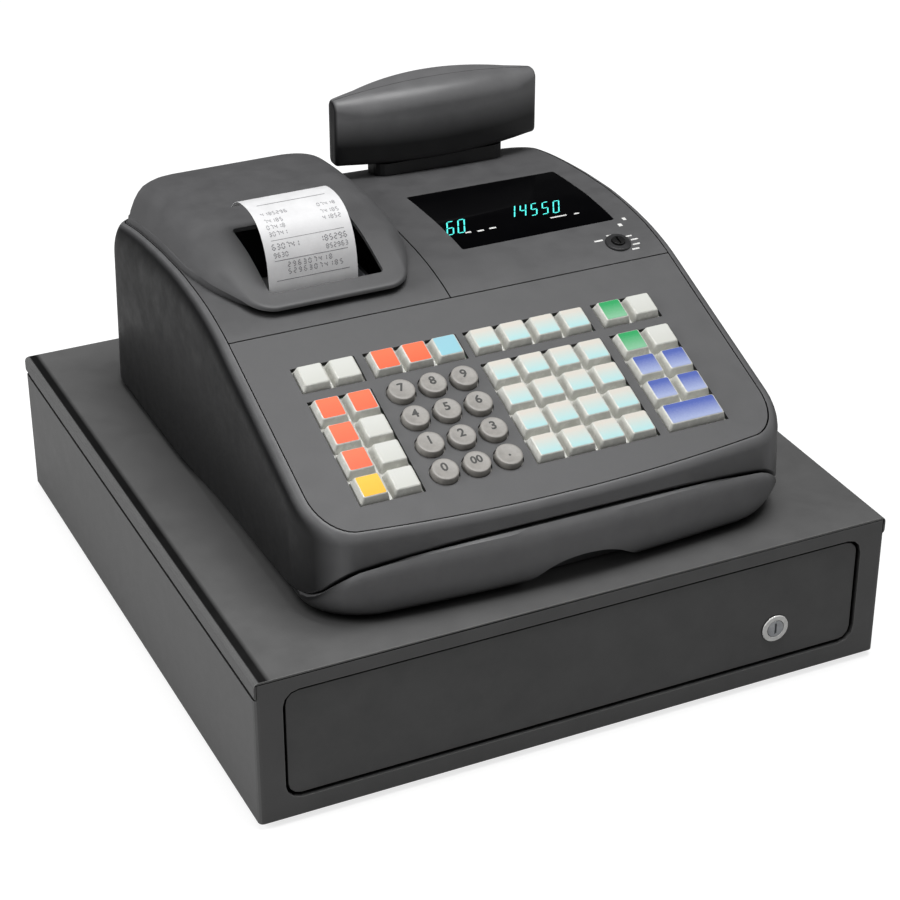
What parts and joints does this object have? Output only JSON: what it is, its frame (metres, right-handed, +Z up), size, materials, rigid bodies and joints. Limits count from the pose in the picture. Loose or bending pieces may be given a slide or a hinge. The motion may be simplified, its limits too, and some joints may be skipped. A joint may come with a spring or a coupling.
{
  "type": "cash register",
  "caption": "Cash register: sloping keyboard console with receipt printer, operator display and swivelling customer display, on a locking cash drawer with a coin and note insert.",
  "frame": {"origin": "centre of the underside of the feet, under the middle of the drawer cabinet", "axes": "+X to the operator's right, +Y towards the customer, +Z up"},
  "size_m": [0.41, 0.4282, 0.2806],
  "materials": {
    "cabinet_paint": "satin textured powder coat",
    "tray_paint": "satin paint",
    "bright_steel": "plain",
    "lock_chrome": "polished",
    "console_plastic": "fine moulded texture",
    "black_plastic": "satin",
    "window_acrylic": "polished",
    "white_key_plastic": "satin",
    "grey_key_plastic": "satin",
    "blue_key_plastic": "satin",
    "board_green": "solder mask",
    "foot_rubber": "matt",
    "receipt_paper": "smooth thermal paper",
    "bolt_brass": "turned"
  },
  "bodies": {
    "cabinet": {"drawer_cabinet": "cabinet_paint", "drawer_top_cover": "cabinet_paint", "drawer_rail_left": "bright_steel", "drawer_rail_right": "bright_steel", "latch_solenoid": "bright_steel", "eject_spring": "bright_steel", "foot_front_left": "foot_rubber", "foot_front_right": "foot_rubber", "foot_back_left": "foot_rubber", "foot_back_right": "foot_rubber", "console_base": "console_plastic", "console_housing": "console_plastic", "keyboard_deck": "console_plastic", "display_cover": "console_plastic", "display_window": "window_acrylic", "display_module": "window_acrylic", "mode_lock_barrel": "black_plastic", "keyboard_board": "board_green", "main_board": "board_green", "power_transformer": "bright_steel", "printer_frame": "bright_steel", "print_head": "black_plastic", "receipt_paper": "receipt_paper", "pod_neck": "console_plastic", "cord_inlet": "black_plastic"},
    "drawer": {"drawer_tray": "tray_paint", "drawer_front": "cabinet_paint", "till_insert": "black_plastic", "drawer_lock_barrel": "lock_chrome"},
    "clip_1": {"note_clip_1": "bright_steel"},
    "clip_2": {"note_clip_2": "bright_steel"},
    "clip_3": {"note_clip_3": "bright_steel"},
    "clip_4": {"note_clip_4": "bright_steel"},
    "drawer_lock": {"drawer_lock_plug": "bright_steel"},
    "bolt": {"latch_bolt": "bolt_brass"},
    "mode_lock": {"mode_lock_plug": "bright_steel"},
    "printer_lid": {"printer_cover": "console_plastic"},
    "platen": {"platen_roller": "foot_rubber"},
    "roll": {"paper_roll": "receipt_paper"},
    "customer_display": {"pod_front_shell": "console_plastic", "pod_back_shell": "console_plastic", "pod_window": "window_acrylic", "pod_display_module": "board_green"},
    "number_key_0": {"number_key_0": "grey_key_plastic"},
    "number_key_00": {"number_key_00": "grey_key_plastic"},
    "number_key_point": {"number_key_point": "grey_key_plastic"},
    "number_key_1": {"number_key_1": "grey_key_plastic"},
    "number_key_2": {"number_key_2": "grey_key_plastic"},
    "number_key_3": {"number_key_3": "grey_key_plastic"},
    "number_key_4": {"number_key_4": "grey_key_plastic"},
    "number_key_5": {"number_key_5": "grey_key_plastic"},
    "number_key_6": {"number_key_6": "grey_key_plastic"},
    "number_key_7": {"number_key_7": "grey_key_plastic"},
    "number_key_8": {"number_key_8": "grey_key_plastic"},
    "number_key_9": {"number_key_9": "grey_key_plastic"},
    "function_keys_top": {"function_keys_top": "white_key_plastic"},
    "function_keys_left": {"function_keys_left": "white_key_plastic"},
    "department_keys": {"department_keys": "white_key_plastic"},
    "payment_keys": {"payment_keys": "blue_key_plastic"},
    "total_key": {"total_key": "blue_key_plastic"}
  },
  "joints": [
    {"name": "drawer_slide", "type": "slide", "parent": "cabinet", "child": "drawer", "axis": [0, -1, 0], "range_m": [0, 0.3]},
    {"name": "clip_1_hinge", "type": "hinge", "parent": "drawer", "child": "clip_1", "pos_m": [-0.12975, 0.1067, 0.0691], "axis": [-1, 0, 0], "range_deg": [0, 32], "stiffness_Nm_per_rad": 0.05, "springref_deg": -22.92},
    {"name": "clip_2_hinge", "type": "hinge", "parent": "drawer", "child": "clip_2", "pos_m": [-0.04325, 0.1067, 0.0691], "axis": [-1, 0, 0], "range_deg": [0, 32], "stiffness_Nm_per_rad": 0.05, "springref_deg": -22.92},
    {"name": "clip_3_hinge", "type": "hinge", "parent": "drawer", "child": "clip_3", "pos_m": [0.04325, 0.1067, 0.0691], "axis": [-1, 0, 0], "range_deg": [0, 32], "stiffness_Nm_per_rad": 0.05, "springref_deg": -22.92},
    {"name": "clip_4_hinge", "type": "hinge", "parent": "drawer", "child": "clip_4", "pos_m": [0.12975, 0.1067, 0.0691], "axis": [-1, 0, 0], "range_deg": [0, 32], "stiffness_Nm_per_rad": 0.05, "springref_deg": -22.92},
    {"name": "drawer_lock_turn", "type": "hinge", "parent": "drawer", "child": "drawer_lock", "pos_m": [0.1314, -0.2129, 0.04], "axis": [0, 1, 0], "range_deg": [0, 90]},
    {"name": "latch_bolt_slide", "type": "slide", "parent": "cabinet", "child": "bolt", "axis": [0, 0, 1], "range_m": [0, 0.009]},
    {"name": "mode_lock_turn", "type": "hinge", "parent": "cabinet", "child": "mode_lock", "pos_m": [0.1205, -0.0235, 0.21981], "axis": [0, -0.245, 0.9695], "range_deg": [-90, 90]},
    {"name": "printer_lid_hinge", "type": "hinge", "parent": "cabinet", "child": "printer_lid", "pos_m": [-0.076, 0.1605, 0.2173], "axis": [-1, 0, 0], "range_deg": [0, 80]},
    {"name": "platen_turn", "type": "hinge", "parent": "cabinet", "child": "platen", "pos_m": [-0.075, -0.006, 0.2078], "axis": [1, 0, 0], "continuous": true},
    {"name": "paper_roll_turn", "type": "hinge", "parent": "cabinet", "child": "roll", "pos_m": [-0.0818, 0.054, 0.1738], "axis": [1, 0, 0], "continuous": true},
    {"name": "display_swivel", "type": "hinge", "parent": "cabinet", "child": "customer_display", "pos_m": [0.0722, 0.147, 0.23], "axis": [0, 0, 1], "range_deg": [-90, 90]},
    {"name": "number_key_0_travel", "type": "slide", "parent": "cabinet", "child": "number_key_0", "axis": [0, 0.3579, -0.9337], "range_m": [0, 0.003], "stiffness_N_per_m": 200, "springref_m": -0.001},
    {"name": "number_key_00_travel", "type": "slide", "parent": "cabinet", "child": "number_key_00", "axis": [0, 0.3579, -0.9337], "range_m": [0, 0.003], "stiffness_N_per_m": 200, "springref_m": -0.001},
    {"name": "number_key_point_travel", "type": "slide", "parent": "cabinet", "child": "number_key_point", "axis": [0, 0.3579, -0.9337], "range_m": [0, 0.003], "stiffness_N_per_m": 200, "springref_m": -0.001},
    {"name": "number_key_1_travel", "type": "slide", "parent": "cabinet", "child": "number_key_1", "axis": [0, 0.3579, -0.9337], "range_m": [0, 0.003], "stiffness_N_per_m": 200, "springref_m": -0.001},
    {"name": "number_key_2_travel", "type": "slide", "parent": "cabinet", "child": "number_key_2", "axis": [0, 0.3579, -0.9337], "range_m": [0, 0.003], "stiffness_N_per_m": 200, "springref_m": -0.001},
    {"name": "number_key_3_travel", "type": "slide", "parent": "cabinet", "child": "number_key_3", "axis": [0, 0.3579, -0.9337], "range_m": [0, 0.003], "stiffness_N_per_m": 200, "springref_m": -0.001},
    {"name": "number_key_4_travel", "type": "slide", "parent": "cabinet", "child": "number_key_4", "axis": [0, 0.3579, -0.9337], "range_m": [0, 0.003], "stiffness_N_per_m": 200, "springref_m": -0.001},
    {"name": "number_key_5_travel", "type": "slide", "parent": "cabinet", "child": "number_key_5", "axis": [0, 0.3579, -0.9337], "range_m": [0, 0.003], "stiffness_N_per_m": 200, "springref_m": -0.001},
    {"name": "number_key_6_travel", "type": "slide", "parent": "cabinet", "child": "number_key_6", "axis": [0, 0.3579, -0.9337], "range_m": [0, 0.003], "stiffness_N_per_m": 200, "springref_m": -0.001},
    {"name": "number_key_7_travel", "type": "slide", "parent": "cabinet", "child": "number_key_7", "axis": [0, 0.3579, -0.9337], "range_m": [0, 0.003], "stiffness_N_per_m": 200, "springref_m": -0.001},
    {"name": "number_key_8_travel", "type": "slide", "parent": "cabinet", "child": "number_key_8", "axis": [0, 0.3579, -0.9337], "range_m": [0, 0.003], "stiffness_N_per_m": 200, "springref_m": -0.001},
    {"name": "number_key_9_travel", "type": "slide", "parent": "cabinet", "child": "number_key_9", "axis": [0, 0.3579, -0.9337], "range_m": [0, 0.003], "stiffness_N_per_m": 200, "springref_m": -0.001},
    {"name": "function_keys_top_travel", "type": "slide", "parent": "cabinet", "child": "function_keys_top", "axis": [0, 0.3579, -0.9337], "range_m": [0, 0.003], "stiffness_N_per_m": 1000, "springref_m": -0.001},
    {"name": "function_keys_left_travel", "type": "slide", "parent": "cabinet", "child": "function_keys_left", "axis": [0, 0.3579, -0.9337], "range_m": [0, 0.003], "stiffness_N_per_m": 1600, "springref_m": -0.001},
    {"name": "department_keys_travel", "type": "slide", "parent": "cabinet", "child": "department_keys", "axis": [0, 0.3579, -0.9337], "range_m": [0, 0.003], "stiffness_N_per_m": 4000, "springref_m": -0.001},
    {"name": "payment_keys_travel", "type": "slide", "parent": "cabinet", "child": "payment_keys", "axis": [0, 0.3579, -0.9337], "range_m": [0, 0.003], "stiffness_N_per_m": 1600, "springref_m": -0.001},
    {"name": "total_key_travel", "type": "slide", "parent": "cabinet", "child": "total_key", "axis": [0, 0.3579, -0.9337], "range_m": [0, 0.003], "stiffness_N_per_m": 400, "springref_m": -0.001}
  ],
  "couplings": [
    {"joint": "platen_turn", "follows": "paper_roll_turn", "ratio": -4.3077}
  ]
}
